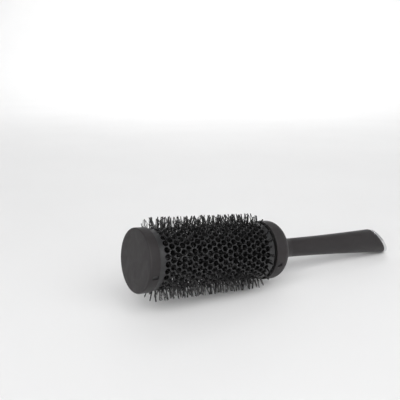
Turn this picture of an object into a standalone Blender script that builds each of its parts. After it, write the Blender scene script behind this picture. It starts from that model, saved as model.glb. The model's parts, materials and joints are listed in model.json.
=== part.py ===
"""Vented round hairbrush: perforated metal barrel on a twisted-wire bristle core, with a soft-touch
nose cap, collar and handle and a slanted bright end plate.

The brush is modelled along its own axis (local +X runs from the nose to the handle end) under one
empty, which lays it on a table as it rests: on the last bristle row and on the tip of the handle.
Metres, +Z up.  The origin is at the middle of the footprint, on the table.
"""
import math

import bmesh
import bpy
import numpy as np
from mathutils import Matrix, Vector

# Driving dimensions ------------------------------------------------------------------------------
GAP = 0.0003                    # clearance between touching pieces
MERGE = 0.000001
SLICE_MERGE = 0.0000001
SHARP_ANGLE = math.radians(35.0)
ROUND_STEPS = 40                # sides of the large turned pieces that show
INNER_STEPS = 28                # sides of the large turned pieces inside
SMALL_STEPS = 20                # sides of the small turned pieces

BARREL_RADIUS = 0.0223          # sold as a 45 mm barrel
BARREL_WALL = 0.0008
BARREL_START = 0.0022
BARREL_END = 0.1180

ROW_COUNT = 11                  # bristle rows that get their own solid
ROW_PINS = 14                   # pins in a row, each standing for a tuft
ROW_FIRST = 0.0141
ROW_PITCH = 0.00884
HOLE_RADIUS = 0.00205
CELL_INSET = 0.0011
TIP_RADIUS = 0.0303             # bristle tips
PIN_TIP_WIDTH = 0.0010
HUB_INNER = 0.00275
HUB_OUTER = 0.0042
HUB_WIDTH = 0.0020

CAP_RADIUS = 0.02325
CAP_LENGTH = 0.0077
CAP_FACE = 0.0019
CAP_FILLET = 0.0010
PLUG_WALL = 0.0020
NOSE_PLUG_END = 0.0105

COLLAR_RADIUS = 0.0235
COLLAR_START = 0.1112
COLLAR_SHOULDER = 0.1192        # where the collar's cylinder turns in to its dome
DOME_DEPTH = 0.0079
DOME_FOOT = 0.0137              # radius of the flat behind the dome
DOME_STEPS = 8
CAVITY_FLARE = 0.0035           # how much wider the collar's cavity is at its front
GASKET_RADIUS = 0.0230
GASKET_WIDTH = 0.0016

KEY_LENGTH = 0.0034             # locking keys, along the axis
KEY_WIDTH = 0.0020
KEY_DEPTH = 0.0012              # how far a key reaches into its plug
KEY_RECESS = 0.0007
KEY_BEVEL = 0.0003
KEY_ANGLES = (-15.5, 104.5, 224.5)
NOSE_KEY_AT = 0.0050
COLLAR_KEY_AT = 0.1153
CUTTER_CLEARANCE = 0.0020       # how far the window cutters stand out of the collar

WIRE_RADIUS = 0.0011
WIRE_OFFSET = 0.00125
WIRE_PITCH = 0.0250
WIRE_START = 0.0042
WIRE_END = 0.1130
WIRE_STEP = 0.0028
FERRULE_BORE = 0.00265
FERRULE_RADIUS = 0.0039
FERRULE_LENGTH = 0.0064
FERRULE_FLOOR = 0.0009

REAR_PLUG_START = 0.1065
REAR_PLUG_HUB = 0.0080
REAR_PLUG_TAIL = 0.1225
SEPTUM_THICK = 0.0010           # between the rear ferrule and the handle core
SEPTUM_LIP = 0.0012
CORE_RADIUS = 0.0052
CORE_START = 0.1158

NECK_RADIUS = 0.00775
FLARE_RISE = 0.0056             # the grip's foot flares out against the collar
FLARE_END = 0.1425
FLARE_POWER = 1.4
FLARE_STEPS = 6
GRIP_GROWTH = 0.0036
GRIP_TAPER_START = 0.1425
GRIP_TAPER_LENGTH = 0.1125
GRIP_TAPER_POWER = 1.5
GRIP_STEPS = 8
GRIP_OVERRUN = 0.2850
SLAB_LEAD = 0.0300              # end slabs are sliced out of a longer stub
SLAB_STEPS = 5

END_AT = 0.2510                 # where the slanted end crosses the axis
END_LEAN = math.radians(42.2)   # of the end plate, from square to the axis
END_ROLL = math.radians(9.3)    # of the end plate, from upright
BEZEL_THICK = 0.0029
BEZEL_WIDTH = 0.0016
BEZEL_BEVEL = 0.0007
BADGE_RECESS = 0.0006
BADGE_THICK = 0.0009
ADHESIVE_THICK = 0.0004

STEEPEST_REST = math.radians(20.0)
REST_HALVINGS = 60

BRISTLE_ROWS = [f"bristle_row_{index + 1:02d}" for index in range(ROW_COUNT)]


# Helpers -----------------------------------------------------------------------------------------
def clear_scene():
    for old in list(bpy.data.objects):
        bpy.data.objects.remove(old, do_unlink=True)


def make_material(name, colour, roughness, metallic=0.0):
    made = bpy.data.materials.new(name)
    made.use_nodes = True
    shader = made.node_tree.nodes["Principled BSDF"]
    shader.inputs["Base Color"].default_value = (*colour, 1.0)
    shader.inputs["Roughness"].default_value = roughness
    shader.inputs["Metallic"].default_value = metallic
    return made


def around(angle, radius, along):
    """A point at an angle round the axis, measured from local -Y towards +Z."""
    return Vector((along, -radius * math.cos(angle), radius * math.sin(angle)))


def fillet(centre_along, centre_radius, radius, start, end, steps=4):
    """Points of an arc in the profile plane; angles in degrees from +X towards the outside."""
    turns = np.radians(np.linspace(start, end, steps + 1))
    return [(centre_along + radius * math.cos(turn), centre_radius + radius * math.sin(turn))
            for turn in turns]


def add_object(name, mesh, material, parent):
    made = bpy.data.objects.new(name, mesh)
    mesh.materials.append(material)
    mesh.shade_smooth()
    mesh.set_sharp_from_angle(angle=SHARP_ANGLE)
    bpy.context.scene.collection.objects.link(made)
    made.parent = parent
    return made


def add_shape(name, shape, material, parent):
    """Turn a bmesh into a named object."""
    bmesh.ops.recalc_face_normals(shape, faces=shape.faces)
    mesh = bpy.data.meshes.new(name)
    shape.to_mesh(mesh)
    shape.free()
    return add_object(name, mesh, material, parent)


def turned(profile, steps=ROUND_STEPS):
    """Spin a profile of (along, radius) points about the axis.

    A profile that starts and ends on the axis makes a solid piece, any other is closed to a ring.
    """
    shape = bmesh.new()
    verts = [shape.verts.new((along, 0.0, radius)) for along, radius in profile]
    edges = [shape.edges.new(pair) for pair in zip(verts, verts[1:])]
    if profile[0][1] > 0.0:
        edges.append(shape.edges.new((verts[-1], verts[0])))
    bmesh.ops.spin(shape, geom=verts + edges, cent=(0, 0, 0), axis=(1, 0, 0),
                   angle=2.0 * math.pi, steps=steps, use_merge=True)
    bmesh.ops.remove_doubles(shape, verts=shape.verts, dist=MERGE)
    bmesh.ops.dissolve_degenerate(shape, edges=shape.edges, dist=MERGE)
    return shape


def key_block(along, bottom, top, grow):
    """One box for each locking key, standing radially; grow widens it on every side."""
    shape = bmesh.new()
    for angle in KEY_ANGLES:
        turn = math.radians(angle)
        centre = around(turn, (bottom + top) / 2.0, along)
        frame = Matrix((Vector((1, 0, 0)), around(turn + math.pi / 2.0, 1.0, 0.0),
                        around(turn, 1.0, 0.0))).transposed()
        size = Vector((KEY_LENGTH + 2 * grow, KEY_WIDTH + 2 * grow, top - bottom))
        place = Matrix.Translation(centre) @ frame.to_4x4() @ Matrix.Diagonal((*size, 1.0))
        bmesh.ops.create_cube(shape, size=1.0, matrix=place)
    return shape


def add_key_cutter(name, along, bottom, parent):
    """The windows that the locking keys sit in, as a hidden cutter."""
    shape = key_block(along, bottom, COLLAR_RADIUS + CUTTER_CLEARANCE, GAP)
    cutter = add_shape(name, shape, bpy.data.materials["cutter"], parent)
    cutter.hide_render = True
    cutter.display_type = "WIRE"
    return cutter


def cut(target, cutter):
    boolean = target.modifiers.new("key windows", "BOOLEAN")
    boolean.operation = "DIFFERENCE"
    boolean.solver = "EXACT"
    boolean.object = cutter


def end_normal():
    """Direction that the slanted end plate faces."""
    lean = math.tan(END_LEAN)
    return Vector((1.0, -lean * math.sin(END_ROLL), lean * math.cos(END_ROLL))).normalized()


def slice_end(shape, offset, keep_inside):
    """Cut at the end plane, moved out by offset, and close the cut."""
    normal = end_normal()
    point = Vector((END_AT, 0.0, 0.0)) + normal * offset
    made = bmesh.ops.bisect_plane(shape, geom=shape.verts[:] + shape.edges[:] + shape.faces[:],
                                  plane_co=point, plane_no=normal, dist=SLICE_MERGE,
                                  clear_outer=keep_inside, clear_inner=not keep_inside)
    rim = [item for item in made["geom_cut"] if isinstance(item, bmesh.types.BMEdge)]
    return rim


def close_ring(shape, rim):
    bmesh.ops.bridge_loops(shape, edges=rim)


def close_disc(shape, rim):
    bmesh.ops.contextual_create(shape, geom=rim)


def grip_radius(along):
    """Outer radius of the handle, which swells towards its end."""
    share = max(0.0, along - GRIP_TAPER_START) / GRIP_TAPER_LENGTH
    return NECK_RADIUS + GRIP_GROWTH * share ** GRIP_TAPER_POWER


# Pieces ------------------------------------------------------------------------------------------
def barrel(material, parent):
    """Perforated tube: a sheet of six-sided cells with one opening each, given its wall."""
    shape = bmesh.new()
    half_turn = math.pi / ROW_PINS
    third = ROW_PITCH / 3.0

    def ring(alongs):
        return [shape.verts.new(around(column * half_turn, BARREL_RADIUS, alongs[column % 2]))
                for column in range(2 * ROW_PINS)]

    def row_ring(index, before):
        """The zigzag edge of the cells of one row; cells of odd rows sit half a cell round."""
        centre = ROW_FIRST + index * ROW_PITCH
        side = -1.0 if before else 1.0
        near = centre + side * third
        far = centre + side * 2.0 * third
        return (far, near) if index % 2 == 0 else (near, far)

    start = ring((BARREL_START, BARREL_START))
    zigzags = [ring(row_ring(0, True))]
    zigzags += [ring(row_ring(index, False)) for index in range(ROW_COUNT)]
    end = ring((BARREL_END, BARREL_END))

    def skirt(first, second):
        for column in range(2 * ROW_PINS):
            after = (column + 1) % (2 * ROW_PINS)
            shape.faces.new((first[column], first[after], second[after], second[column]))

    skirt(start, zigzags[0])
    skirt(zigzags[-1], end)
    cells = []
    for index in range(ROW_COUNT):
        first, second = zigzags[index], zigzags[index + 1]
        for pin in range(ROW_PINS):
            middle = 2 * pin + index % 2
            columns = [(middle - 1) % (2 * ROW_PINS), middle, (middle + 1) % (2 * ROW_PINS)]
            loop = [first[column] for column in columns]
            loop += [second[column] for column in reversed(columns)]
            cells.append((shape.faces.new(loop), middle * half_turn, ROW_FIRST + index * ROW_PITCH))
    for cell, angle, along in cells:
        bmesh.ops.inset_individual(shape, faces=[cell], thickness=CELL_INSET)
        for vert in cell.verts:
            turn = math.atan2(vert.co.z, -vert.co.y)
            swing = (turn - angle + math.pi) % (2.0 * math.pi) - math.pi
            direction = math.atan2(swing * BARREL_RADIUS, vert.co.x - along)
            vert.co = around(angle + HOLE_RADIUS * math.sin(direction) / BARREL_RADIUS,
                             BARREL_RADIUS, along + HOLE_RADIUS * math.cos(direction))
    bmesh.ops.delete(shape, geom=[cell for cell, _, _ in cells], context="FACES")
    made = add_shape("barrel", shape, material, parent)
    wall = made.modifiers.new("wall", "SOLIDIFY")
    wall.thickness = BARREL_WALL
    wall.offset = -1.0
    wall.use_even_offset = True
    return made


def bristle_row(index, material, parent):
    """A clamped root ring with one tapered pin for each tuft."""
    shape = bmesh.new()
    pitch = 2.0 * math.pi / ROW_PINS
    along = ROW_FIRST + index * ROW_PITCH
    phase = (index % 2) * pitch / 2.0
    half = HUB_WIDTH / 2.0

    def ring(radius, offset):
        return [shape.verts.new(around(phase + (pin - 0.5) * pitch, radius, along + offset))
                for pin in range(ROW_PINS)]

    loops = [ring(HUB_INNER, -half), ring(HUB_OUTER, -half), ring(HUB_OUTER, half),
             ring(HUB_INNER, half)]
    pads = []
    for first, second in zip(loops, loops[1:] + loops[:1]):
        for pin in range(ROW_PINS):
            after = (pin + 1) % ROW_PINS
            face = shape.faces.new((first[pin], first[after], second[after], second[pin]))
            if first is loops[1]:
                pads.append((face, phase + pin * pitch))
    for pad, angle in pads:
        grown = bmesh.ops.extrude_discrete_faces(shape, faces=[pad])["faces"][0]
        centre = around(angle, TIP_RADIUS, along)
        side = around(angle + math.pi / 2.0, 1.0, 0.0)
        for vert in grown.verts:
            across = math.copysign(PIN_TIP_WIDTH / 2.0, vert.co.dot(side))
            lift = math.copysign(PIN_TIP_WIDTH / 2.0, vert.co.x - along)
            vert.co = centre + side * across + Vector((lift, 0.0, 0.0))
    return add_shape(BRISTLE_ROWS[index], shape, material, parent)


def core_wire(name, phase, material, parent):
    """One of the two wires that are twisted together and clamp the bristles."""
    curve = bpy.data.curves.new(name, "CURVE")
    curve.dimensions = "3D"
    curve.bevel_depth = WIRE_RADIUS
    curve.bevel_resolution = 2
    curve.use_fill_caps = True
    count = int((WIRE_END - WIRE_START) / WIRE_STEP) + 1
    spline = curve.splines.new("POLY")
    spline.points.add(count - 1)
    for point, along in zip(spline.points, np.linspace(WIRE_START, WIRE_END, count)):
        turn = phase + 2.0 * math.pi * along / WIRE_PITCH
        point.co = (*around(turn, WIRE_OFFSET, along), 1.0)
    curve.materials.append(material)
    made = bpy.data.objects.new(name, curve)
    bpy.context.scene.collection.objects.link(made)
    made.parent = parent


def core_ferrule(name, closed_at, direction, material, parent):
    """A crimped cup over one end of the twisted wires."""
    floor = closed_at + direction * FERRULE_FLOOR
    mouth = closed_at + direction * FERRULE_LENGTH
    profile = [(closed_at, 0.0), (closed_at, FERRULE_RADIUS), (mouth, FERRULE_RADIUS),
               (mouth, FERRULE_BORE), (floor, FERRULE_BORE), (floor, 0.0)]
    add_shape(name, turned(profile, SMALL_STEPS), material, parent)


def nose_cap(material, parent):
    corner = fillet(CAP_FILLET, CAP_RADIUS - CAP_FILLET, CAP_FILLET, 180.0, 90.0)
    inner = BARREL_RADIUS + GAP
    profile = [(0.0, 0.0), *corner, (CAP_LENGTH, CAP_RADIUS), (CAP_LENGTH, inner),
               (CAP_FACE, inner), (CAP_FACE, 0.0)]
    return add_shape("nose_cap", turned(profile), material, parent)


def nose_plug(material, parent):
    """Cup pressed into the barrel, with a boss round the ferrule."""
    outer = BARREL_RADIUS - BARREL_WALL - GAP
    boss = FERRULE_RADIUS + GAP
    web_end = BARREL_START + PLUG_WALL
    profile = [(BARREL_START, boss), (BARREL_START, outer), (NOSE_PLUG_END, outer),
               (NOSE_PLUG_END, outer - PLUG_WALL), (web_end, outer - PLUG_WALL),
               (web_end, boss + PLUG_WALL), (NOSE_PLUG_END, boss + PLUG_WALL),
               (NOSE_PLUG_END, boss)]
    return add_shape("nose_plug", turned(profile, INNER_STEPS), material, parent)


def rear_plug(material, parent):
    """Cup in the barrel's rear end; its boss takes the ferrule in front and the handle behind."""
    outer = BARREL_RADIUS - BARREL_WALL - GAP
    web_start = COLLAR_KEY_AT - PLUG_WALL / 2.0
    web_end = web_start + PLUG_WALL
    septum_start = CORE_START - GAP - SEPTUM_THICK
    septum_bore = FERRULE_RADIUS + GAP - SEPTUM_LIP
    core_bore = CORE_RADIUS + GAP
    ferrule_bore = FERRULE_RADIUS + GAP
    profile = [(REAR_PLUG_START, ferrule_bore), (REAR_PLUG_START, REAR_PLUG_HUB),
               (web_start, REAR_PLUG_HUB), (web_start, outer - PLUG_WALL),
               (REAR_PLUG_START, outer - PLUG_WALL), (REAR_PLUG_START, outer),
               (BARREL_END, outer), (BARREL_END, outer - PLUG_WALL),
               (web_end, outer - PLUG_WALL), (web_end, REAR_PLUG_HUB),
               (REAR_PLUG_TAIL, REAR_PLUG_HUB), (REAR_PLUG_TAIL, core_bore),
               (CORE_START - GAP, core_bore), (CORE_START - GAP, septum_bore),
               (septum_start, septum_bore), (septum_start, ferrule_bore)]
    return add_shape("rear_plug", turned(profile, INNER_STEPS), material, parent)


def collar_shell(material, parent):
    """Moulded collar: a skirt over the barrel, closing in a dome with a flat back."""
    inner = BARREL_RADIUS + GAP
    rise = COLLAR_RADIUS - DOME_FOOT
    dome = [(COLLAR_SHOULDER + DOME_DEPTH * math.sin(turn), DOME_FOOT + rise * math.cos(turn))
            for turn in np.linspace(0.0, math.pi / 2.0, DOME_STEPS + 1)]
    step = BARREL_END + GAP
    bore = CORE_RADIUS + GAP
    cavity = REAR_PLUG_HUB + GAP
    profile = [(COLLAR_START, inner), (COLLAR_START, COLLAR_RADIUS), *dome,
               (COLLAR_SHOULDER + DOME_DEPTH, bore), (REAR_PLUG_TAIL + GAP, bore),
               (REAR_PLUG_TAIL + GAP, cavity), (step, cavity + CAVITY_FLARE), (step, inner)]
    return add_shape("collar_shell", turned(profile), material, parent)


def handle_core(material, parent):
    """Stiff spine of the handle, cut off just under the end plate."""
    shape = turned([(CORE_START, 0.0), (CORE_START, CORE_RADIUS), (GRIP_OVERRUN, CORE_RADIUS),
                    (GRIP_OVERRUN, 0.0)], SMALL_STEPS)
    close_disc(shape, slice_end(shape, -GAP, True))
    return add_shape("handle_core", shape, material, parent)


def grip_sleeve(material, parent):
    """Soft-touch handle shell: a foot flared against the collar, and an end cut off at a slant."""
    start = COLLAR_SHOULDER + DOME_DEPTH + GAP
    bore = CORE_RADIUS + GAP
    shares = np.linspace(0.0, 1.0, FLARE_STEPS + 1)
    foot = [(start + share * (FLARE_END - start),
             NECK_RADIUS + FLARE_RISE * (1.0 - share) ** FLARE_POWER) for share in shares]
    alongs = np.linspace(FLARE_END, GRIP_OVERRUN, GRIP_STEPS + 1)
    outline = [(along, grip_radius(along)) for along in alongs[1:]]
    shape = turned([(start, bore), *foot, *outline, (GRIP_OVERRUN, bore)])
    close_ring(shape, slice_end(shape, 0.0, True))
    return add_shape("grip_sleeve", shape, material, parent)


def end_slab(name, bottom, top, inner, outer_at, material, parent, bevel=0.0):
    """A slice of the handle's section between two planes parallel to the slanted end."""
    start = END_AT - SLAB_LEAD
    alongs = np.linspace(start, GRIP_OVERRUN, SLAB_STEPS)
    outline = [(along, outer_at(along)) for along in alongs]
    edge = inner if inner else 0.0
    shape = turned([(start, edge), *outline, (GRIP_OVERRUN, edge)])
    close = close_ring if inner else close_disc
    close(shape, slice_end(shape, top, True))
    close(shape, slice_end(shape, bottom, False))
    made = add_shape(name, shape, material, parent)
    if bevel:
        soften = made.modifiers.new("edges", "BEVEL")
        soften.width = bevel
        soften.segments = 2
        soften.limit_method = "ANGLE"
        soften.angle_limit = math.radians(40.0)
    return made


def end_plate(materials, parent):
    """Bright rim on the slanted end, with a plain disc bonded inside it."""
    def rim_inner(along):
        return grip_radius(END_AT) - BEZEL_WIDTH

    def disc_radius(along):
        return rim_inner(along) - GAP

    top = GAP + BEZEL_THICK
    badge_top = top - BADGE_RECESS
    badge_bottom = badge_top - BADGE_THICK
    end_slab("end_bezel", GAP, top, rim_inner(END_AT), grip_radius, materials["bright_metal"],
             parent, BEZEL_BEVEL)
    end_slab("end_badge", badge_bottom, badge_top, 0.0, disc_radius, materials["brushed_metal"],
             parent)
    end_slab("badge_adhesive", badge_bottom - GAP - ADHESIVE_THICK, badge_bottom - GAP, 0.0,
             disc_radius, materials["adhesive"], parent)


def keys(prefix, along, top, material, parent):
    """Three separate locking keys, one third of a turn apart."""
    bottom = BARREL_RADIUS - BARREL_WALL - GAP - KEY_DEPTH
    whole = key_block(along, bottom, top - KEY_RECESS, 0.0)
    bmesh.ops.bevel(whole, geom=whole.edges[:], offset=KEY_BEVEL, segments=1, affect="EDGES")
    for index, angle in enumerate(KEY_ANGLES):
        single = whole.copy()
        facing = around(math.radians(angle), 1.0, 0.0)
        others = [vert for vert in single.verts if vert.co.dot(facing) < 0.0]
        bmesh.ops.delete(single, geom=others, context="VERTS")
        add_shape(f"{prefix}_key_{index + 1}", single, material, parent)
    whole.free()


# Assembly ----------------------------------------------------------------------------------------
def local_points(names):
    """Vertices of the named objects before the brush is laid down."""
    graph = bpy.context.evaluated_depsgraph_get()
    clouds = []
    for name in names:
        mesh = bpy.data.objects[name].evaluated_get(graph).to_mesh()
        flat = np.empty(len(mesh.vertices) * 3)
        mesh.vertices.foreach_get("co", flat)
        clouds.append(flat.reshape(-1, 3))
    return np.concatenate(clouds)


def tilted_heights(points, tilt):
    """Heights of points once the axis dips by tilt towards the handle end."""
    return points[:, 2] * math.cos(tilt) - points[:, 0] * math.sin(tilt)


def resting_tilt(bristles, grip):
    """Dip of the axis at which bristle tips and handle tip stand equally low."""
    low, high = 0.0, STEEPEST_REST
    for _ in range(REST_HALVINGS):
        middle = (low + high) / 2.0
        if tilted_heights(bristles, middle).min() < tilted_heights(grip, middle).min():
            low = middle
        else:
            high = middle
    return (low + high) / 2.0


def lay_down(root, names):
    """Tilt the brush until it rests, then centre its footprint on the origin."""
    bpy.context.view_layer.update()
    tilt = resting_tilt(local_points(BRISTLE_ROWS), local_points(["grip_sleeve", "end_bezel"]))
    points = local_points(names)
    along = points[:, 0] * math.cos(tilt) + points[:, 2] * math.sin(tilt)
    root.rotation_euler = (0.0, tilt, 0.0)
    root.location = (-(along.min() + along.max()) / 2.0,
                     -(points[:, 1].min() + points[:, 1].max()) / 2.0,
                     -tilted_heights(points, tilt).min())


def build():
    clear_scene()
    materials = {
        "ceramic_coat": make_material("ceramic_coat", (0.045, 0.046, 0.048), 0.38, 0.3),
        "soft_touch": make_material("soft_touch", (0.050, 0.048, 0.049), 0.62),
        "bristle_nylon": make_material("bristle_nylon", (0.012, 0.012, 0.013), 0.35),
        "moulded_black": make_material("moulded_black", (0.020, 0.020, 0.021), 0.5),
        "core_steel": make_material("core_steel", (0.55, 0.55, 0.56), 0.35, 1.0),
        "bright_metal": make_material("bright_metal", (0.85, 0.85, 0.86), 0.10, 1.0),
        "brushed_metal": make_material("brushed_metal", (0.70, 0.70, 0.71), 0.30, 1.0),
        "gasket_rubber": make_material("gasket_rubber", (0.008, 0.008, 0.008), 0.8),
        "adhesive": make_material("adhesive", (0.60, 0.58, 0.52), 0.7),
        "cutter": make_material("cutter", (1.0, 0.2, 0.2), 1.0),
    }
    root = bpy.data.objects.new("brush_axis", None)
    bpy.context.scene.collection.objects.link(root)

    key_bottom = BARREL_RADIUS - BARREL_WALL - 2.0 * GAP - KEY_DEPTH
    nose_windows = add_key_cutter("nose_windows", NOSE_KEY_AT, key_bottom, root)
    collar_windows = add_key_cutter("collar_windows", COLLAR_KEY_AT, key_bottom, root)

    tube_body = barrel(materials["ceramic_coat"], root)
    cut(tube_body, nose_windows)
    cut(tube_body, collar_windows)
    cut(nose_cap(materials["soft_touch"], root), nose_windows)
    cut(nose_plug(materials["moulded_black"], root), nose_windows)
    cut(rear_plug(materials["moulded_black"], root), collar_windows)
    cut(collar_shell(materials["soft_touch"], root), collar_windows)
    keys("nose", NOSE_KEY_AT, CAP_RADIUS, materials["moulded_black"], root)
    keys("collar", COLLAR_KEY_AT, COLLAR_RADIUS, materials["moulded_black"], root)

    gasket_end = COLLAR_START - GAP
    gasket = turned([(gasket_end - GASKET_WIDTH, BARREL_RADIUS + GAP),
                     (gasket_end - GASKET_WIDTH, GASKET_RADIUS),
                     (gasket_end, GASKET_RADIUS), (gasket_end, BARREL_RADIUS + GAP)])
    add_shape("collar_gasket", gasket, materials["gasket_rubber"], root)

    core_wire("core_wire_a", 0.0, materials["core_steel"], root)
    core_wire("core_wire_b", math.pi, materials["core_steel"], root)
    core_ferrule("front_ferrule", WIRE_START - GAP - FERRULE_FLOOR, 1.0,
                 materials["core_steel"], root)
    core_ferrule("rear_ferrule", WIRE_END + GAP + FERRULE_FLOOR, -1.0,
                 materials["core_steel"], root)
    for index in range(ROW_COUNT):
        bristle_row(index, materials["bristle_nylon"], root)

    handle_core(materials["moulded_black"], root)
    grip_sleeve(materials["soft_touch"], root)
    end_plate(materials, root)

    names = [item.name for item in bpy.data.objects if item.type != "EMPTY" and not item.hide_render]
    lay_down(root, names)


build()
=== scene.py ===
"""Looks of the vented round hairbrush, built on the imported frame."""
import json
import math
import random

import bmesh
import bpy
from mathutils import Matrix, Vector


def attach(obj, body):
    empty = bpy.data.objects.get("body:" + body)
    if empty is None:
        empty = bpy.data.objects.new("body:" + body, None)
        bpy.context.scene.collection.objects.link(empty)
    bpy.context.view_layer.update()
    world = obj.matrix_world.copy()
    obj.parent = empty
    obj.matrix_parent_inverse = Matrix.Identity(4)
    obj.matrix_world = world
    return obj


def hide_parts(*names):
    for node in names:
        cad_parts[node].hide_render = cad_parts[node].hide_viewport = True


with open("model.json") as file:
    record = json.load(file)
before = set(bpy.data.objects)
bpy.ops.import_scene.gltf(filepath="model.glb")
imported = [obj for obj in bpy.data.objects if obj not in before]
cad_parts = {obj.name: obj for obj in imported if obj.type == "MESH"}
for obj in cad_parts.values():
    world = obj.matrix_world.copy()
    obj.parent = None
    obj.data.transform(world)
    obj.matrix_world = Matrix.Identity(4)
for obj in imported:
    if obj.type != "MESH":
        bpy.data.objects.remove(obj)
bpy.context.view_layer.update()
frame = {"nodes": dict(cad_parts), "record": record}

SCENE = bpy.context.scene

# Dimensions repeated from the CAD, in metres along and round the brush's own axis ------------------
GAP = 0.0003
BARREL_RADIUS = 0.0223
BARREL_WALL = 0.0008
BARREL_START = 0.0022
BARREL_END = 0.1180
CAP_RADIUS = 0.02325
CAP_LENGTH = 0.0077
CAP_FACE = 0.0019
COLLAR_RADIUS = 0.0235
COLLAR_START = 0.1112
COLLAR_SHOULDER = 0.1192
DOME_DEPTH = 0.0079
DOME_FOOT = 0.0137
FLARE_RISE = 0.0056
FLARE_END = 0.1425
FLARE_POWER = 1.4
CORE_BORE = 0.0055
GASKET_RADIUS = 0.0230
GASKET_WIDTH = 0.0016
KEY_LENGTH = 0.0034
KEY_WIDTH = 0.0020
KEY_ANGLES = (-15.5, 104.5, 224.5)
NOSE_KEY_AT = 0.0050
COLLAR_KEY_AT = 0.1153
TIP_RADIUS = 0.0303
NECK_RADIUS = 0.00775
GRIP_GROWTH = 0.0036
GRIP_TAPER_START = 0.1425
GRIP_TAPER_LENGTH = 0.1125
GRIP_TAPER_POWER = 1.5
END_AT = 0.2510
END_LEAN = math.radians(42.2)
END_ROLL = math.radians(9.3)
BEZEL_TOP = 0.0032
BEZEL_WIDTH = 0.0016
BADGE_TOP = 0.0026
BADGE_THICK = 0.0009

# Finer sizes that only the look has ----------------------------------------------------------------
SEAM = 0.00003                  # the grip's foot closes on the collar's back
GASKET_EASE = 0.00005           # between the gasket and the barrel it sits on
BADGE_EASE = 0.00012            # between the disc and the rim round it
HOLLOW_START = 0.1183           # cavity inside the collar, a blunt cone
HOLLOW_END = 0.1228
HOLLOW_WIDE = 0.0118
HOLLOW_NARROW = 0.0083
WINDOW_GAP = 0.00055            # between a locking key and the edges of its window
WINDOW_CORNER = 0.0005
WINDOW_SINK = 0.0002            # how far a window's cutter reaches below the barrel's surface
KEY_SINK = 0.0012               # how far a key's foot reaches below the barrel's bore
KEY_DROP = 0.0011               # from the shell's surface down to the top of the key
KEY_BEVEL = 0.00012
FOOT_EDGE = ((0.0, 0.0004), (0.0001, 0.00012))      # along and inward, at the grip's front edge
SLANT_EDGE = ((-0.0004, 0.0), (-0.00018, 0.00005), (-0.00005, 0.00018), (0.0, 0.0004))

# The real perforation: 21 rings of 28 round holes, staggered
HOLE_RINGS = 21
HOLES_ROUND = 28
HOLE_RING_FIRST = 0.0141
HOLE_RING_PITCH = 0.00442
HOLE_PITCH = 2.0 * math.pi / HOLES_ROUND
HOLE_PHASE = math.radians(6.5)
HOLE_RADIUS = 0.00220
# A hole's section from the outer face to the inner: how much it widens, and the depth below the face
HOLE_SECTION = ((0.00020, 0.0), (0.00010, 0.00002), (0.00003, 0.00008), (0.0, 0.00018),
                (0.0, 0.00062), (0.00003, 0.00072), (0.00010, BARREL_WALL))
# Points round a six-sided cell, in sixths of a ring pitch along and quarters of a hole pitch round
CELL = ((4, 0), (3, 1), (2, 2), (0, 2), (-2, 2), (-3, 1),
        (-4, 0), (-3, -1), (-2, -2), (0, -2), (2, -2), (3, -1))
# The outer points of one cell of an end ring, up to its neighbour's first
CELL_END = ((4, 0), (3, 1), (2, 2), (3, 3))

# Bristles: spreads are standard deviations unless a comment says otherwise
RINGS_PER_ROW = 2
BRISTLE_RADIUS = 0.00022
BRISTLE_SIDES = 5
BRISTLES_PER_HOLE = (4, 5)
TIP_TAPERS = {0: 0.30, 1: 0.78}  # share of the filament radius left at its last stations
TIP_STATIONS = (0.00016, 0.00004)           # distances of the rounding's stations below the tip
TUFT_LEAN = 0.0010              # of a whole tuft's tips, along and round
HOLE_SPREAD = 0.0008            # greatest distance of a filament from the middle of its hole
TIP_PULL = 0.5                  # share of that distance still left at the tip
TIP_SPREAD = 0.0003
TIP_WEAR = 0.0005
ROOT_SPREAD = 0.0007
BOW = 0.0005
FLOOR_EASE = 1.2                # lowest centre line over the table, in filament radii
SEED = 20

ROUND = 112                     # sides of the large turned pieces

# Camera
CAMERA_PLACE = (-0.29942, -0.34314, 0.17339)
CAMERA_YAW = math.radians(56.951)
CAMERA_PITCH = math.radians(13.212)
CAMERA_LENS = 51.53

# Brush frame: local +X from the nose to the handle end ---------------------------------------------
NOSE = next(m for m in frame["record"]["mounts"] if m["name"] == "nose_face")
AXIS = -Vector(NOSE["axis"])
BRUSH = Matrix.Translation(Vector(NOSE["pos_m"])) @ Matrix.Rotation(-math.asin(AXIS.z), 4, "Y")
BRUSH_INVERSE = BRUSH.inverted()


# Camera --------------------------------------------------------------------------------------------
def make_camera():
    camera = bpy.data.objects.new("camera", bpy.data.cameras.new("camera"))
    camera.data.sensor_width = 36.0
    camera.data.lens = CAMERA_LENS
    camera.location = CAMERA_PLACE
    level = math.cos(CAMERA_PITCH)
    facing = Vector((level * math.cos(CAMERA_YAW), level * math.sin(CAMERA_YAW),
                     -math.sin(CAMERA_PITCH)))
    camera.rotation_euler = facing.to_track_quat("-Z", "Y").to_euler()
    camera.data.clip_start = 0.01
    camera.data.clip_end = 50.0
    SCENE.collection.objects.link(camera)
    SCENE.camera = camera


make_camera()


# Mesh helpers --------------------------------------------------------------------------------------
def around(angle, radius, along):
    """A point at an angle round the axis, measured from local -Y towards +Z."""
    return (along, -radius * math.cos(angle), radius * math.sin(angle))


def circle(radius, along):
    return [around(2.0 * math.pi * side / ROUND, radius, along) for side in range(ROUND)]


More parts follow.
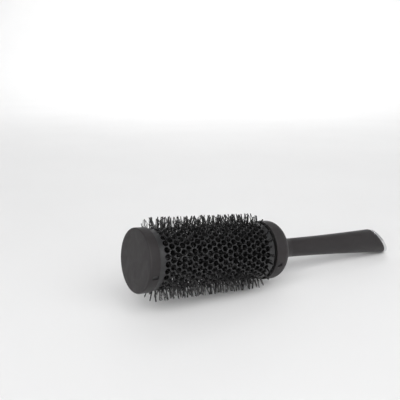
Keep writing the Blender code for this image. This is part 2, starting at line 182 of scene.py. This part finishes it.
def make_piece(name, verts, faces, material, place=None, sharp=40.0):
    """An object in the brush's frame, or in a frame placed in it, shaded smooth but for sharp edges."""
    mesh = bpy.data.meshes.new(name)
    mesh.from_pydata(verts, [], faces)
    mesh.validate()
    shape = bmesh.new()
    shape.from_mesh(mesh)
    bmesh.ops.recalc_face_normals(shape, faces=shape.faces)
    shape.to_mesh(mesh)
    shape.free()
    mesh.shade_smooth()
    mesh.set_sharp_from_angle(angle=math.radians(sharp))
    mesh.materials.append(material)
    piece = bpy.data.objects.new(name, mesh)
    piece.matrix_world = BRUSH if place is None else BRUSH @ place
    SCENE.collection.objects.link(piece)
    return piece


def rounded(points, steps=5):
    """A closed outline of (along, radius, fillet) corners as points, each corner turned by an arc."""
    outline = []
    count = len(points)
    for index, (along, radius, fillet) in enumerate(points):
        corner = Vector((along, radius))
        before = Vector(points[index - 1][:2]) - corner
        after = Vector(points[(index + 1) % count][:2]) - corner
        if fillet <= 0.0:
            outline.append((along, radius))
            continue
        half = before.angle(after) / 2.0
        reach = min(fillet / math.tan(half), before.length * 0.49, after.length * 0.49)
        start = corner + before.normalized() * reach
        end = corner + after.normalized() * reach
        for step in range(steps + 1):
            share = step / steps
            first = start.lerp(corner, share)
            second = corner.lerp(end, share)
            outline.append(tuple(first.lerp(second, share)))
    return outline


def join_loops(first, second):
    """Faces between two equal closed loops of vertex indices."""
    count = len(first)
    return [(first[side], first[(side + 1) % count], second[(side + 1) % count], second[side])
            for side in range(count)]


def lathe(outline):
    """Verts and faces of a closed (along, radius) outline turned about the axis."""
    verts = []
    rings = []
    for along, radius in outline:
        if radius < 1e-6:
            rings.append([len(verts)] * ROUND)
            verts.append((along, 0.0, 0.0))
        else:
            rings.append(list(range(len(verts), len(verts) + ROUND)))
            verts += circle(radius, along)
    faces = []
    for first, second in zip(rings, rings[1:] + rings[:1]):
        corners = (list(dict.fromkeys(face)) for face in join_loops(first, second))
        faces += [face for face in corners if len(face) > 2]
    return verts, faces


def sweep_loops(loops, closed):
    """Verts and faces that join equal loops in order, and the last to the first where closed."""
    verts = [point for loop in loops for point in loop]
    size = len(loops[0])
    rings = [range(start, start + size) for start in range(0, len(verts), size)]
    faces = []
    for first, second in zip(rings, rings[1:] + rings[:1] if closed else rings[1:]):
        faces += join_loops(first, second)
    return verts, faces


def grip_radius(along):
    """Handle radius behind the flared foot, from the neck to the end."""
    share = max(0.0, along - GRIP_TAPER_START) / GRIP_TAPER_LENGTH
    return NECK_RADIUS + GRIP_GROWTH * share ** GRIP_TAPER_POWER


def end_slope():
    """Along-axis change of the slanted end per metre of local Y and Z."""
    lean = math.tan(END_LEAN)
    return lean * math.sin(END_ROLL), -lean * math.cos(END_ROLL)


def end_point(angle, offset, inset):
    """A point over the slanted end: offset out from its plane, inset from the handle's surface."""
    slope_y, slope_z = end_slope()
    rise = offset / math.cos(END_LEAN)
    along = END_AT
    for _ in range(24):
        radius = grip_radius(along) - inset
        along = END_AT + rise + slope_y * -radius * math.cos(angle) \
            + slope_z * radius * math.sin(angle)
    return around(angle, grip_radius(along) - inset, along)


def end_loop(offset, inset):
    """A loop of such points all round the slanted end."""
    return [end_point(2.0 * math.pi * side / ROUND, offset, inset) for side in range(ROUND)]


# Materials -----------------------------------------------------------------------------------------
class Nodes:
    """Short names for building one material's node tree."""

    def __init__(self, name):
        self.material = bpy.data.materials.new(name)
        self.material.use_nodes = True
        self.tree = self.material.node_tree
        self.shader = self.tree.nodes["Principled BSDF"]
        self.coords = self.add("ShaderNodeTexCoord").outputs["Object"]

    def add(self, kind, **values):
        made = self.tree.nodes.new(kind)
        for key, value in values.items():
            setattr(made, key, value)
        return made

    def link(self, source, target):
        self.tree.links.new(source, target)

    def set(self, **values):
        for key, value in values.items():
            self.shader.inputs[key.replace("_", " ")].default_value = value

    def noise(self, scale, detail=3.0, roughness=0.5, vector=None, distortion=0.0):
        made = self.add("ShaderNodeTexNoise")
        made.inputs["Scale"].default_value = scale
        made.inputs["Detail"].default_value = detail
        made.inputs["Roughness"].default_value = roughness
        made.inputs["Distortion"].default_value = distortion
        self.link(vector or self.coords, made.inputs["Vector"])
        return made.outputs["Fac"]

    def stretched(self, x, y, z):
        made = self.add("ShaderNodeMapping")
        made.inputs["Scale"].default_value = (x, y, z)
        self.link(self.coords, made.inputs["Vector"])
        return made.outputs["Vector"]

    def ramp(self, source, stops):
        made = self.add("ShaderNodeValToRGB")
        ramp = made.color_ramp
        while len(ramp.elements) < len(stops):
            ramp.elements.new(0.5)
        for element, (place, colour) in zip(ramp.elements, stops):
            element.position = place
            element.color = (*colour, 1.0)
        self.link(source, made.inputs["Fac"])
        return made.outputs["Color"]

    def spread(self, source, low, high, start=0.3, end=0.7):
        made = self.add("ShaderNodeMapRange")
        made.inputs["From Min"].default_value = start
        made.inputs["From Max"].default_value = end
        made.inputs["To Min"].default_value = low
        made.inputs["To Max"].default_value = high
        self.link(source, made.inputs["Value"])
        return made.outputs["Result"]

    def mix(self, share, first, second):
        made = self.add("ShaderNodeMix", data_type="RGBA")
        self.feed(share, made.inputs[0])
        self.feed(first, made.inputs[6])
        self.feed(second, made.inputs[7])
        return made.outputs[2]

    def maths(self, operation, first, second=0.0):
        made = self.add("ShaderNodeMath", operation=operation)
        self.feed(first, made.inputs[0])
        self.feed(second, made.inputs[1])
        return made.outputs[0]

    def feed(self, value, socket):
        if isinstance(value, bpy.types.NodeSocket):
            self.link(value, socket)
        elif isinstance(value, tuple):
            socket.default_value = (*value, 1.0)
        else:
            socket.default_value = value

    def bump(self, height, distance, strength=1.0, below=None):
        made = self.add("ShaderNodeBump")
        made.inputs["Distance"].default_value = distance
        made.inputs["Strength"].default_value = strength
        self.link(height, made.inputs["Height"])
        if below:
            self.link(below, made.inputs["Normal"])
        return made.outputs["Normal"]

    def wire(self, colour, roughness, normal=None):
        self.link(colour, self.shader.inputs["Base Color"])
        self.link(roughness, self.shader.inputs["Roughness"])
        if normal:
            self.link(normal, self.shader.inputs["Normal"])
        return self.material


def soft_touch():
    """Charcoal rubbery lacquer: very fine tooth, faint handling marks and lint."""
    n = Nodes("soft_touch_lacquer")
    n.set(IOR=1.40, Sheen_Weight=0.05, Sheen_Roughness=0.45)
    broad = n.noise(26.0, 4.0, 0.55, distortion=0.4)
    tone = n.ramp(broad, [(0.30, (0.0122, 0.0101, 0.0107)), (0.55, (0.0138, 0.0115, 0.0122)),
                          (0.80, (0.0158, 0.0134, 0.0141))])
    lint = n.spread(n.noise(620.0, 2.0, 0.5), 0.0, 1.0, 0.735, 0.80)
    tone = n.mix(lint, tone, (0.040, 0.038, 0.038))
    marks = n.noise(90.0, 5.0, 0.6, vector=n.stretched(0.35, 1.0, 1.0), distortion=1.2)
    rough = n.spread(marks, 0.50, 0.66)
    tooth = n.noise(5200.0, 2.0, 0.6)
    swell = n.noise(420.0, 3.0, 0.5)
    normal = n.bump(swell, 0.00002, 0.35, below=n.bump(tooth, 0.000012, 0.6))
    return n.wire(tone, rough, normal)


def ceramic_coat():
    """Sprayed dark ceramic: satin, with fine pigment speckle and a little orange peel."""
    n = Nodes("ceramic_coat")
    n.set(IOR=1.48, Coat_Weight=0.10, Coat_Roughness=0.30)
    grain = n.noise(4200.0, 3.0, 0.6)
    tone = n.ramp(grain, [(0.30, (0.0125, 0.0125, 0.0134)), (0.60, (0.0180, 0.0180, 0.0190)),
                          (0.78, (0.0300, 0.0300, 0.0312))])
    patches = n.noise(55.0, 4.0, 0.6)
    rough = n.spread(patches, 0.30, 0.44)
    peel = n.noise(1500.0, 2.0, 0.45)
    normal = n.bump(peel, 0.00003, 0.5)
    return n.wire(tone, rough, normal)


def bristle_nylon():
    """Black nylon filament, satin, with paler patches painted in as highlights of light glinting off
    the strands.
    """
    n = Nodes("bristle_nylon")
    n.set(IOR=1.50)
    glint_patches = n.noise(420.0, 2.0, 0.5)
    # the paler stops are painted highlights standing in for light glinting off the strands
    tone = n.ramp(glint_patches, [(0.40, (0.0030, 0.0029, 0.0032)), (0.60, (0.0080, 0.0078, 0.0080)),
                         (0.75, (0.055, 0.052, 0.052))])
    rough = n.spread(n.noise(900.0, 2.0), 0.20, 0.36)
    return n.wire(tone, rough)


def moulded_black():
    """Black moulded plastic with a fine spark-eroded grain."""
    n = Nodes("moulded_black")
    n.set(IOR=1.5)
    tone = n.ramp(n.noise(180.0), [(0.3, (0.003, 0.003, 0.0033)), (0.7, (0.007, 0.0068, 0.007))])
    rough = n.spread(n.noise(60.0, 4.0), 0.42, 0.58)
    grain = n.noise(2600.0, 3.0, 0.6)
    return n.wire(tone, rough, n.bump(grain, 0.00004, 0.5))


def gasket_rubber():
    """Dull black rubber with a dusty bloom."""
    n = Nodes("gasket_rubber")
    n.set(IOR=1.22)
    tone = n.ramp(n.noise(240.0, 4.0), [(0.35, (0.0012, 0.0012, 0.0012)),
                                        (0.75, (0.0026, 0.0026, 0.0026))])
    rough = n.spread(n.noise(500.0), 0.72, 0.88)
    return n.wire(tone, rough, n.bump(n.noise(1800.0), 0.00004, 0.5))


def drawn_steel():
    """Drawn wire, dulled by oxide and darkened further as painted shade for the bristles that crowd
    round it, with lengthwise die marks.
    """
    n = Nodes("drawn_steel")
    n.set(Metallic=1.0)
    lines = n.noise(1400.0, 3.0, vector=n.stretched(0.05, 1.0, 1.0))
    # the dark tone is partly oxide and partly painted shade for the bristles that hide the core
    tone = n.ramp(lines, [(0.3, (0.10, 0.10, 0.10)), (0.7, (0.19, 0.19, 0.19))])
    rough = n.spread(lines, 0.28, 0.46)
    return n.wire(tone, rough, n.bump(lines, 0.00003, 0.4))


def bright_metal():
    """Polished plated rim: clean, with hairline scratches and faint hazing."""
    n = Nodes("bright_metal")
    n.set(Metallic=1.0)
    haze = n.noise(140.0, 4.0, 0.6)
    tone = n.ramp(haze, [(0.3, (0.62, 0.62, 0.63)), (0.7, (0.72, 0.72, 0.73))])
    rough = n.spread(haze, 0.10, 0.19)
    hairlines = n.noise(2400.0, 2.0, vector=n.stretched(0.08, 1.0, 1.0), distortion=0.3)
    return n.wire(tone, rough, n.bump(hairlines, 0.000006, 0.4))


def brushed_disc():
    """Round-brushed plate: fine rings about the disc's own centre."""
    n = Nodes("brushed_disc")
    n.set(Metallic=1.0)
    split = n.add("ShaderNodeSeparateXYZ")
    n.link(n.coords, split.inputs["Vector"])
    across = n.maths("MULTIPLY", split.outputs["X"], split.outputs["X"])
    up = n.maths("MULTIPLY", split.outputs["Y"], split.outputs["Y"])
    radius = n.maths("SQRT", n.maths("ADD", across, up))
    rings = n.add("ShaderNodeTexNoise", noise_dimensions="1D")
    rings.inputs["Scale"].default_value = 9000.0
    rings.inputs["Detail"].default_value = 3.0
    n.link(radius, rings.inputs["W"])
    arcs = n.noise(700.0, 2.0)
    blend = n.mix(0.25, rings.outputs["Fac"], arcs)
    tone = n.ramp(blend, [(0.30, (0.46, 0.46, 0.47)), (0.70, (0.63, 0.63, 0.64))])
    rough = n.spread(blend, 0.16, 0.30)
    return n.wire(tone, rough, n.bump(blend, 0.00001, 0.5))


def bonding_pad():
    """Milky adhesive film with trapped bubbles."""
    n = Nodes("bonding_pad")
    n.set(IOR=1.47)
    tone = n.ramp(n.noise(900.0, 3.0), [(0.35, (0.52, 0.50, 0.45)), (0.7, (0.64, 0.62, 0.56))])
    rough = n.spread(n.noise(200.0), 0.45, 0.65)
    return n.wire(tone, rough, n.bump(n.noise(1500.0), 0.00004, 0.6))


MATERIALS = {
    "soft_touch": soft_touch(), "ceramic_coat": ceramic_coat(), "bristle_nylon": bristle_nylon(),
    "moulded_black": moulded_black(), "gasket_rubber": gasket_rubber(),
    "core_steel": drawn_steel(), "bright_metal": bright_metal(),
    "brushed_metal": brushed_disc(), "adhesive": bonding_pad(),
}


def mount_piece(piece, slot, *nodes):
    """Let a piece ride on the body and stand for its CAD nodes."""
    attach(piece, "root")
    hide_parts(*nodes)


# Barrel --------------------------------------------------------------------------------------------
def hole_places():
    """Ring, quarter pitches round the tube, angle and place along the axis of every hole."""
    for ring in range(HOLE_RINGS):
        for hole in range(HOLES_ROUND):
            quarter = 4 * hole + 2 * (ring % 2)
            angle = HOLE_PHASE + quarter / 4.0 * HOLE_PITCH
            yield ring, quarter, angle, HOLE_RING_FIRST + ring * HOLE_RING_PITCH


def hole_loop(angle, along, widen, depth):
    """Points round a hole, each facing a point of its cell, at one station of the hole's section."""
    spoke = HOLE_RADIUS + widen
    loop = []
    for sixth, quarter in CELL:
        turn = math.atan2(quarter / 4.0 * HOLE_PITCH * BARREL_RADIUS, sixth / 6.0 * HOLE_RING_PITCH)
        loop.append(around(angle + spoke * math.sin(turn) / BARREL_RADIUS, BARREL_RADIUS - depth,
                           along + spoke * math.cos(turn)))
    return loop


def barrel():
    """Perforated tube: six-sided cells, each with a round hole whose rims are rolled."""
    verts = []
    faces = []
    shared = {}

    def add_loop(points):
        verts.extend(points)
        return list(range(len(verts) - len(points), len(verts)))

    def shared_vert(side, sixth, quarter):
        """A point that cells share, on side 0, the outer face, or side 1, the inner."""
        quarter %= 4 * HOLES_ROUND
        key = (side, sixth, quarter)
        if key not in shared:
            shared[key] = len(verts)
            verts.append(around(HOLE_PHASE + quarter / 4.0 * HOLE_PITCH,
                                BARREL_RADIUS - side * BARREL_WALL,
                                HOLE_RING_FIRST + sixth / 6.0 * HOLE_RING_PITCH))
        return shared[key]

    for ring, centre, angle, along in hole_places():
        outer, inner = ([shared_vert(side, 6 * ring + sixth, centre + quarter)
                         for sixth, quarter in CELL] for side in (0, 1))
        rings = [outer]
        rings += [add_loop(hole_loop(angle, along, widen, depth)) for widen, depth in HOLE_SECTION]
        rings.append(inner)
        for first, second in zip(rings, rings[1:]):
            faces += join_loops(first, second)

    for ring, direction, end in ((0, -1, BARREL_START), (HOLE_RINGS - 1, 1, BARREL_END)):
        edges = [[shared_vert(side, 6 * ring + direction * sixth, centre + quarter)
                  for hole_ring, centre, _, _ in hole_places() if hole_ring == ring
                  for sixth, quarter in CELL_END] for side in (0, 1)]
        rims = [add_loop([(end, *verts[index][1:]) for index in edge]) for edge in edges]
        for first, second in ((edges[0], rims[0]), (rims[0], rims[1]), (rims[1], edges[1])):
            faces += join_loops(first, second)
    piece = make_piece("barrel_tube", verts, faces, MATERIALS["ceramic_coat"], sharp=50.0)
    mount_piece(piece, "ceramic_coat", "barrel")


# Bristles ------------------------------------------------------------------------------------------
def bristle_path(draw, angle, along, lean_along, lean_round):
    """A filament from the wire core, through its hole, to a tip close to its tuft's own point."""
    turn = draw.uniform(0.0, 2.0 * math.pi)
    stray = HOLE_SPREAD * math.sqrt(draw.random())
    hole_along = stray * math.cos(turn)
    hole_round = stray * math.sin(turn)
    tip_along = lean_along + hole_along * TIP_PULL + draw.gauss(0.0, TIP_SPREAD)
    tip_round = lean_round + hole_round * TIP_PULL + draw.gauss(0.0, TIP_SPREAD)
    tip = TIP_RADIUS - abs(draw.gauss(0.0, TIP_WEAR))
    root_along = draw.gauss(0.0, ROOT_SPREAD)
    bow = draw.gauss(0.0, BOW)
    stations = [(0.0034, root_along, 0.0), (0.0120, (root_along + hole_along) / 2.0, hole_round / 3.0),
                (0.0205, hole_along, hole_round)]
    for radius, share, bent in ((0.0235, 0.25, bow * 0.6), (0.0265, 0.62, bow)):
        stations.append((radius, hole_along + (tip_along - hole_along) * share + bent,
                         hole_round + (tip_round - hole_round) * share - bent))
    stations += [(tip - below, tip_along, tip_round) for below in (*TIP_STATIONS, 0.0)]
    return [Vector(around(angle + shift / max(radius, 0.012), radius, along + lean))
            for radius, lean, shift in stations]


def lift_off_floor(point):
    """Bend a point that would pass through the table back onto it."""
    placed = BRUSH @ point
    if placed.z < BRISTLE_RADIUS * FLOOR_EASE:
        placed.z = BRISTLE_RADIUS * FLOOR_EASE
        return BRUSH_INVERSE @ placed
    return point


def add_filament(verts, faces, path, radius):
    base = len(verts)
    for index, point in enumerate(path):
        ahead = path[min(index + 1, len(path) - 1)] - path[max(index - 1, 0)]
        facing = ahead.to_track_quat("Z", "X")
        taper = TIP_TAPERS.get(len(path) - 1 - index, 1.0)
        for side in range(BRISTLE_SIDES):
            turn = 2.0 * math.pi * side / BRISTLE_SIDES
            offset = facing @ Vector((math.cos(turn), math.sin(turn), 0.0))
            verts.append(point + offset * radius * taper)
    loops = [range(low, low + BRISTLE_SIDES) for low in range(base, len(verts), BRISTLE_SIDES)]
    for first, second in zip(loops, loops[1:]):
        faces += join_loops(first, second)
    faces += [tuple(loops[-1]), tuple(reversed(loops[0]))]


def bristles():
    """Loose nylon filaments, a few through every hole, one piece for each row of the CAD."""
    draw = random.Random(SEED)
    rows = {}
    for ring, _, angle, along in hole_places():
        verts, faces = rows.setdefault(ring // RINGS_PER_ROW, ([], []))
        lean_along = draw.gauss(0.0, TUFT_LEAN)
        lean_round = draw.gauss(0.0, TUFT_LEAN)
        for _ in range(draw.randint(*BRISTLES_PER_HOLE)):
            path = bristle_path(draw, angle, along, lean_along, lean_round)
            path = [lift_off_floor(point) for point in path]
            add_filament(verts, faces, path, BRISTLE_RADIUS * draw.uniform(0.85, 1.1))
    for row, (verts, faces) in sorted(rows.items()):
        piece = make_piece(f"bristles_{row + 1:02d}", verts, faces, MATERIALS["bristle_nylon"],
                           sharp=60.0)
        mount_piece(piece, "bristle_nylon", f"bristle_row_{row + 1:02d}")


# Moulded shells ------------------------------------------------------------------------------------
def window_cutter(along):
    """Rounded boxes, one for each locking key, to cut windows with."""
    bottom = BARREL_RADIUS - WINDOW_SINK
    top = COLLAR_RADIUS + 0.002
    shape = bmesh.new()
    for degrees in KEY_ANGLES:
        turn = math.radians(degrees)
        axes = Matrix((Vector((1, 0, 0)), Vector(around(turn + math.pi / 2.0, 1.0, 0.0)),
                       Vector(around(turn, 1.0, 0.0)))).transposed()
        centre = Vector(around(turn, (bottom + top) / 2.0, along))
        size = (KEY_LENGTH + 2 * WINDOW_GAP, KEY_WIDTH + 2 * WINDOW_GAP, top - bottom, 1.0)
        place = Matrix.Translation(centre) @ axes.to_4x4() @ Matrix.Diagonal(size)
        made = bmesh.ops.create_cube(shape, size=1.0, matrix=place)
        upright = [edge for edge in {e for v in made["verts"] for e in v.link_edges}
                   if abs((edge.verts[0].co - edge.verts[1].co).normalized()
                          .dot(axes.col[2])) > 0.9]
        bmesh.ops.bevel(shape, geom=upright, offset=WINDOW_CORNER, segments=3, affect="EDGES")
    mesh = bpy.data.meshes.new("cutter")
    shape.to_mesh(mesh)
    shape.free()
    cutter = bpy.data.objects.new("cutter", mesh)
    cutter.matrix_world = BRUSH
    SCENE.collection.objects.link(cutter)
    return cutter


def cut_windows(piece, along):
    """Cut the windows for a shell's locking keys, then drop the cutter."""
    cutter = window_cutter(along)
    boolean = piece.modifiers.new("windows", "BOOLEAN")
    boolean.operation = "DIFFERENCE"
    boolean.solver = "EXACT"
    boolean.object = cutter
    bpy.context.view_layer.update()
    graph = bpy.context.evaluated_depsgraph_get()
    cut = bpy.data.meshes.new_from_object(piece.evaluated_get(graph))
    piece.modifiers.clear()
    piece.data = cut
    bpy.data.objects.remove(cutter)
    cut.shade_smooth()
    cut.set_sharp_from_angle(angle=math.radians(40.0))


def nose_cap():
    """Soft-touch cup over the front of the barrel: flat face, rounded rim, short skirt."""
    inner = BARREL_RADIUS + GAP
    outline = rounded([(0.0, 0.0, 0.0), (0.0, CAP_RADIUS - 0.0060, 0.0), (0.0, CAP_RADIUS, 0.0010),
                       (CAP_LENGTH, CAP_RADIUS, 0.0003), (CAP_LENGTH, inner, 0.0002),
                       (CAP_FACE, inner, 0.0003), (CAP_FACE, 0.0, 0.0)])
    piece = make_piece("nose_cap_shell", *lathe(outline), MATERIALS["soft_touch"])
    cut_windows(piece, NOSE_KEY_AT)
    mount_piece(piece, "soft_touch", "nose_cap")


def collar():
    """Soft-touch collar: a skirt over the barrel, a dome with a flat back, hollow inside."""
    inner = BARREL_RADIUS + GAP
    rise = COLLAR_RADIUS - DOME_FOOT
    dome_steps = 18
    dome = [(COLLAR_SHOULDER + DOME_DEPTH * math.sin(turn), DOME_FOOT + rise * math.cos(turn), 0.0)
            for turn in (math.pi / 2.0 * step / dome_steps for step in range(dome_steps + 1))]
    outline = rounded([(COLLAR_START, inner, 0.0002), (COLLAR_START, COLLAR_RADIUS, 0.0006), *dome,
                       (COLLAR_SHOULDER + DOME_DEPTH, CORE_BORE, 0.0), (HOLLOW_END, CORE_BORE, 0.0),
                       (HOLLOW_END, HOLLOW_NARROW, 0.0), (HOLLOW_START, HOLLOW_WIDE, 0.0),
                       (HOLLOW_START, inner, 0.0)])
    piece = make_piece("collar_moulding", *lathe(outline), MATERIALS["soft_touch"])
    cut_windows(piece, COLLAR_KEY_AT)
    mount_piece(piece, "soft_touch", "collar_shell")


def gasket():
    """Black ring between the barrel's end and the collar."""
    end = COLLAR_START - GAP
    inner = BARREL_RADIUS + GASKET_EASE
    outline = rounded([(end - GASKET_WIDTH, inner, 0.0), (end - GASKET_WIDTH, GASKET_RADIUS, 0.0003),
                       (end, GASKET_RADIUS, 0.0003), (end, inner, 0.0)])
    piece = make_piece("gasket_ring", *lathe(outline), MATERIALS["gasket_rubber"])
    mount_piece(piece, "gasket_rubber", "collar_gasket")


def locking_key(name, node, along, degrees, shell_radius):
    """A latch tongue: a block with a low sloping top and a raised lip at its rear edge."""
    turn = math.radians(degrees)
    half_long = KEY_LENGTH / 2.0
    half_wide = KEY_WIDTH / 2.0
    bottom = BARREL_RADIUS - BARREL_WALL - GAP - KEY_SINK
    top = shell_radius - KEY_DROP
    outline = [(-half_long, bottom), (half_long, bottom), (half_long, top), (half_long - 0.0006, top),
               (half_long - 0.0009, top - 0.0007), (-half_long + 0.0008, top - 0.0012),
               (-half_long + 0.0006, top - 0.0003), (-half_long, top - 0.0003)]
    verts = []
    for across in (-half_wide, half_wide):
        verts += [Vector(around(turn, radius, along + lean))
                  + Vector(around(turn + math.pi / 2.0, across, 0.0)) for lean, radius in outline]
    near, far = range(len(outline)), range(len(outline), 2 * len(outline))
    faces = [tuple(near), tuple(reversed(far)), *join_loops(near, far)]
    piece = make_piece(name, verts, faces, MATERIALS["moulded_black"], sharp=30.0)
    soften = piece.modifiers.new("edges", "BEVEL")
    soften.width = KEY_BEVEL
    soften.segments = 2
    mount_piece(piece, "moulded_black", node)


def locking_keys():
    """Three keys in the nose cap and three in the collar."""
    for prefix, along, shell in (("nose", NOSE_KEY_AT, CAP_RADIUS),
                                 ("collar", COLLAR_KEY_AT, COLLAR_RADIUS)):
        for index, degrees in enumerate(KEY_ANGLES):
            node = f"{prefix}_key_{index + 1}"
            locking_key(f"{node}_tongue", node, along, degrees, shell)


# Handle --------------------------------------------------------------------------------------------
def grip():
    """Handle sleeve: a flared foot, then a round section that swells to a slanted end."""
    start = COLLAR_SHOULDER + DOME_DEPTH + SEAM
    length_steps = 40
    foot_steps = 16
    loops = [circle(NECK_RADIUS + FLARE_RISE - inward, start + along) for along, inward in FOOT_EDGE]
    for step in range(1, foot_steps + 1):
        share = step / foot_steps
        loops.append(circle(NECK_RADIUS + FLARE_RISE * (1.0 - share) ** FLARE_POWER,
                            start + share * (FLARE_END - start)))
    edge = [end_loop(offset, inset) for offset, inset in SLANT_EDGE]
    for step in range(1, length_steps):
        share = step / length_steps
        loop = []
        for side in range(ROUND):
            along = FLARE_END + share * (edge[0][side][0] - FLARE_END)
            loop.append(around(2.0 * math.pi * side / ROUND, grip_radius(along), along))
        loops.append(loop)
    loops += edge
    bore = circle(CORE_BORE, start)
    slope_y, slope_z = end_slope()
    loops.append([(END_AT + slope_y * y + slope_z * z, y, z) for _, y, z in bore])
    loops.append(bore)
    piece = make_piece("grip_skin", *sweep_loops(loops, True), MATERIALS["soft_touch"])
    mount_piece(piece, "soft_touch", "grip_sleeve")


def bezel():
    """Bright rim round the slanted end, rolled over at its outer edge."""
    section = [(GAP, 0.0001), (GAP + 0.0001, 0.0), (BEZEL_TOP - 0.0011, 0.0),
               (BEZEL_TOP - 0.0007, 0.00006), (BEZEL_TOP - 0.00032, 0.00024),
               (BEZEL_TOP - 0.00008, 0.00052), (BEZEL_TOP, 0.00086), (BEZEL_TOP - 0.00005, 0.0012),
               (BEZEL_TOP - 0.00022, 0.00148), (BEZEL_TOP - 0.0005, BEZEL_WIDTH),
               (GAP, BEZEL_WIDTH)]
    loops = [end_loop(offset, inset) for offset, inset in section]
    piece = make_piece("bezel_rim", *sweep_loops(loops, True), MATERIALS["bright_metal"], sharp=50.0)
    mount_piece(piece, "bright_metal", "end_bezel")


def end_frame():
    """Local frame on the slanted end: Z out of it, Y up its slope."""
    slope_y, slope_z = end_slope()
    out = Vector((1.0, -slope_y, -slope_z)).normalized()
    side = Vector((0, 0, 1)).cross(out).normalized()
    up = out.cross(side)
    return Matrix.Translation((END_AT, 0.0, 0.0)) @ Matrix((side, up, out)).transposed().to_4x4()


def badge():
    """Plain disc, slightly dished, with a chamfered edge, modelled in its own frame."""
    place = end_frame()
    back = place.inverted()
    outer = [back @ Vector(point) for point in end_loop(BADGE_TOP, BEZEL_WIDTH + BADGE_EASE)]
    centre = sum(outer, Vector()) / len(outer)
    dish = 0.00028
    loops = []
    for share, drop in ((1.0, BADGE_THICK), (1.0, 0.0002), (0.985, 0.00003), (0.97, 0.0),
                        (0.85, 0.00006), (0.65, 0.00016), (0.4, 0.00024), (0.15, dish)):
        loops.append([centre.lerp(point, share) - Vector((0, 0, drop)) for point in outer])
    verts, faces = sweep_loops(loops, False)
    top, bottom = len(verts), len(verts) + 1
    verts += [centre - Vector((0, 0, drop)) for drop in (dish, BADGE_THICK)]
    last = (len(loops) - 1) * ROUND
    for side in range(ROUND):
        after = (side + 1) % ROUND
        faces.append((last + side, last + after, top))
        faces.append((after, side, bottom))
    piece = make_piece("end_disc", verts, faces, MATERIALS["brushed_metal"], place=place, sharp=25.0)
    mount_piece(piece, "brushed_metal", "end_badge")


barrel()
bristles()
nose_cap()
collar()
gasket()
locking_keys()
grip()
bezel()
badge()

# CAD nodes whose shape stays get their own material
for subpart in frame["record"]["subparts"]:
    node = frame["nodes"][subpart["node"]]
    if not node.hide_render:
        node.data.materials.clear()
        node.data.materials.append(MATERIALS[subpart["material_slot"]])


# Stage and light -----------------------------------------------------------------------------------
def stage():
    """Pale sweep: a floor that curves up all round."""
    flat, curve, height = 2.5, 1.1, 2.8
    curve_steps = 16
    sides = 96
    profile = [(flat, 0.0)]
    profile += [(flat + curve * math.sin(turn), curve - curve * math.cos(turn))
                for turn in (math.pi / 2.0 * step / curve_steps for step in range(1, curve_steps + 1))]
    profile.append((flat + curve, height))
    turns = [2.0 * math.pi * side / sides for side in range(sides)]
    verts = [(0.0, 0.0, 0.0)]
    for radius, up in profile:
        verts += [(radius * math.cos(turn), radius * math.sin(turn), up) for turn in turns]
    faces = [(0, 1 + side, 1 + (side + 1) % sides) for side in range(sides)]
    rings = [range(low, low + sides) for low in range(1, len(verts), sides)]
    for first, second in zip(rings, rings[1:]):
        faces += [tuple(reversed(face)) for face in join_loops(first, second)]
    n = Nodes("pale_sweep")
    n.set(Specular_IOR_Level=0.25)
    tone = n.ramp(n.noise(3.0, 2.0), [(0.3, (0.755, 0.755, 0.755)), (0.7, (0.775, 0.775, 0.775))])
    rough = n.spread(n.noise(8.0), 0.5, 0.6)
    mesh = bpy.data.meshes.new("sweep")
    mesh.from_pydata(verts, [], faces)
    mesh.shade_smooth()
    mesh.materials.append(n.wire(tone, rough))
    sweep = bpy.data.objects.new("sweep", mesh)
    SCENE.collection.objects.link(sweep)


def area_light(name, place, target, size, power, spread=180.0):
    """A round soft light that faces its target."""
    light = bpy.data.lights.new(name, "AREA")
    light.shape = "DISK"
    light.size = size
    light.spread = math.radians(spread)
    light.energy = power
    lamp = bpy.data.objects.new(name, light)
    lamp.location = place
    aim = Vector(target) - Vector(place)
    lamp.rotation_euler = aim.to_track_quat("-Z", "Y").to_euler()
    SCENE.collection.objects.link(lamp)


def lights():
    """A dim sky, a key light from the nose's side, a softer front light and two weak ones above."""
    world = bpy.data.worlds.new("soft_sky")
    world.use_nodes = True
    sky = world.node_tree.nodes["Background"]
    sky.inputs["Color"].default_value = (0.98, 0.985, 1.0, 1.0)
    sky.inputs["Strength"].default_value = 0.20
    SCENE.world = world
    area_light("key", place=(-1.90, -1.40, 1.50), target=(0.0, 0.0, 0.03), size=2.2, power=64.0)
    area_light("front", place=(0.2, -2.1, 1.7), target=(0.0, 0.0, 0.0), size=2.4, power=39.0)
    area_light("overhead", place=(-0.2, -0.4, 2.4), target=(0.0, 0.0, 0.0), size=2.2, power=6.0)
    area_light("backdrop", place=(1.25, 1.9, 2.4), target=(1.45, 2.2, 0.0), size=2.4, power=27.0,
               spread=110.0)
    SCENE.view_settings.view_transform = "Standard"


stage()
lights()
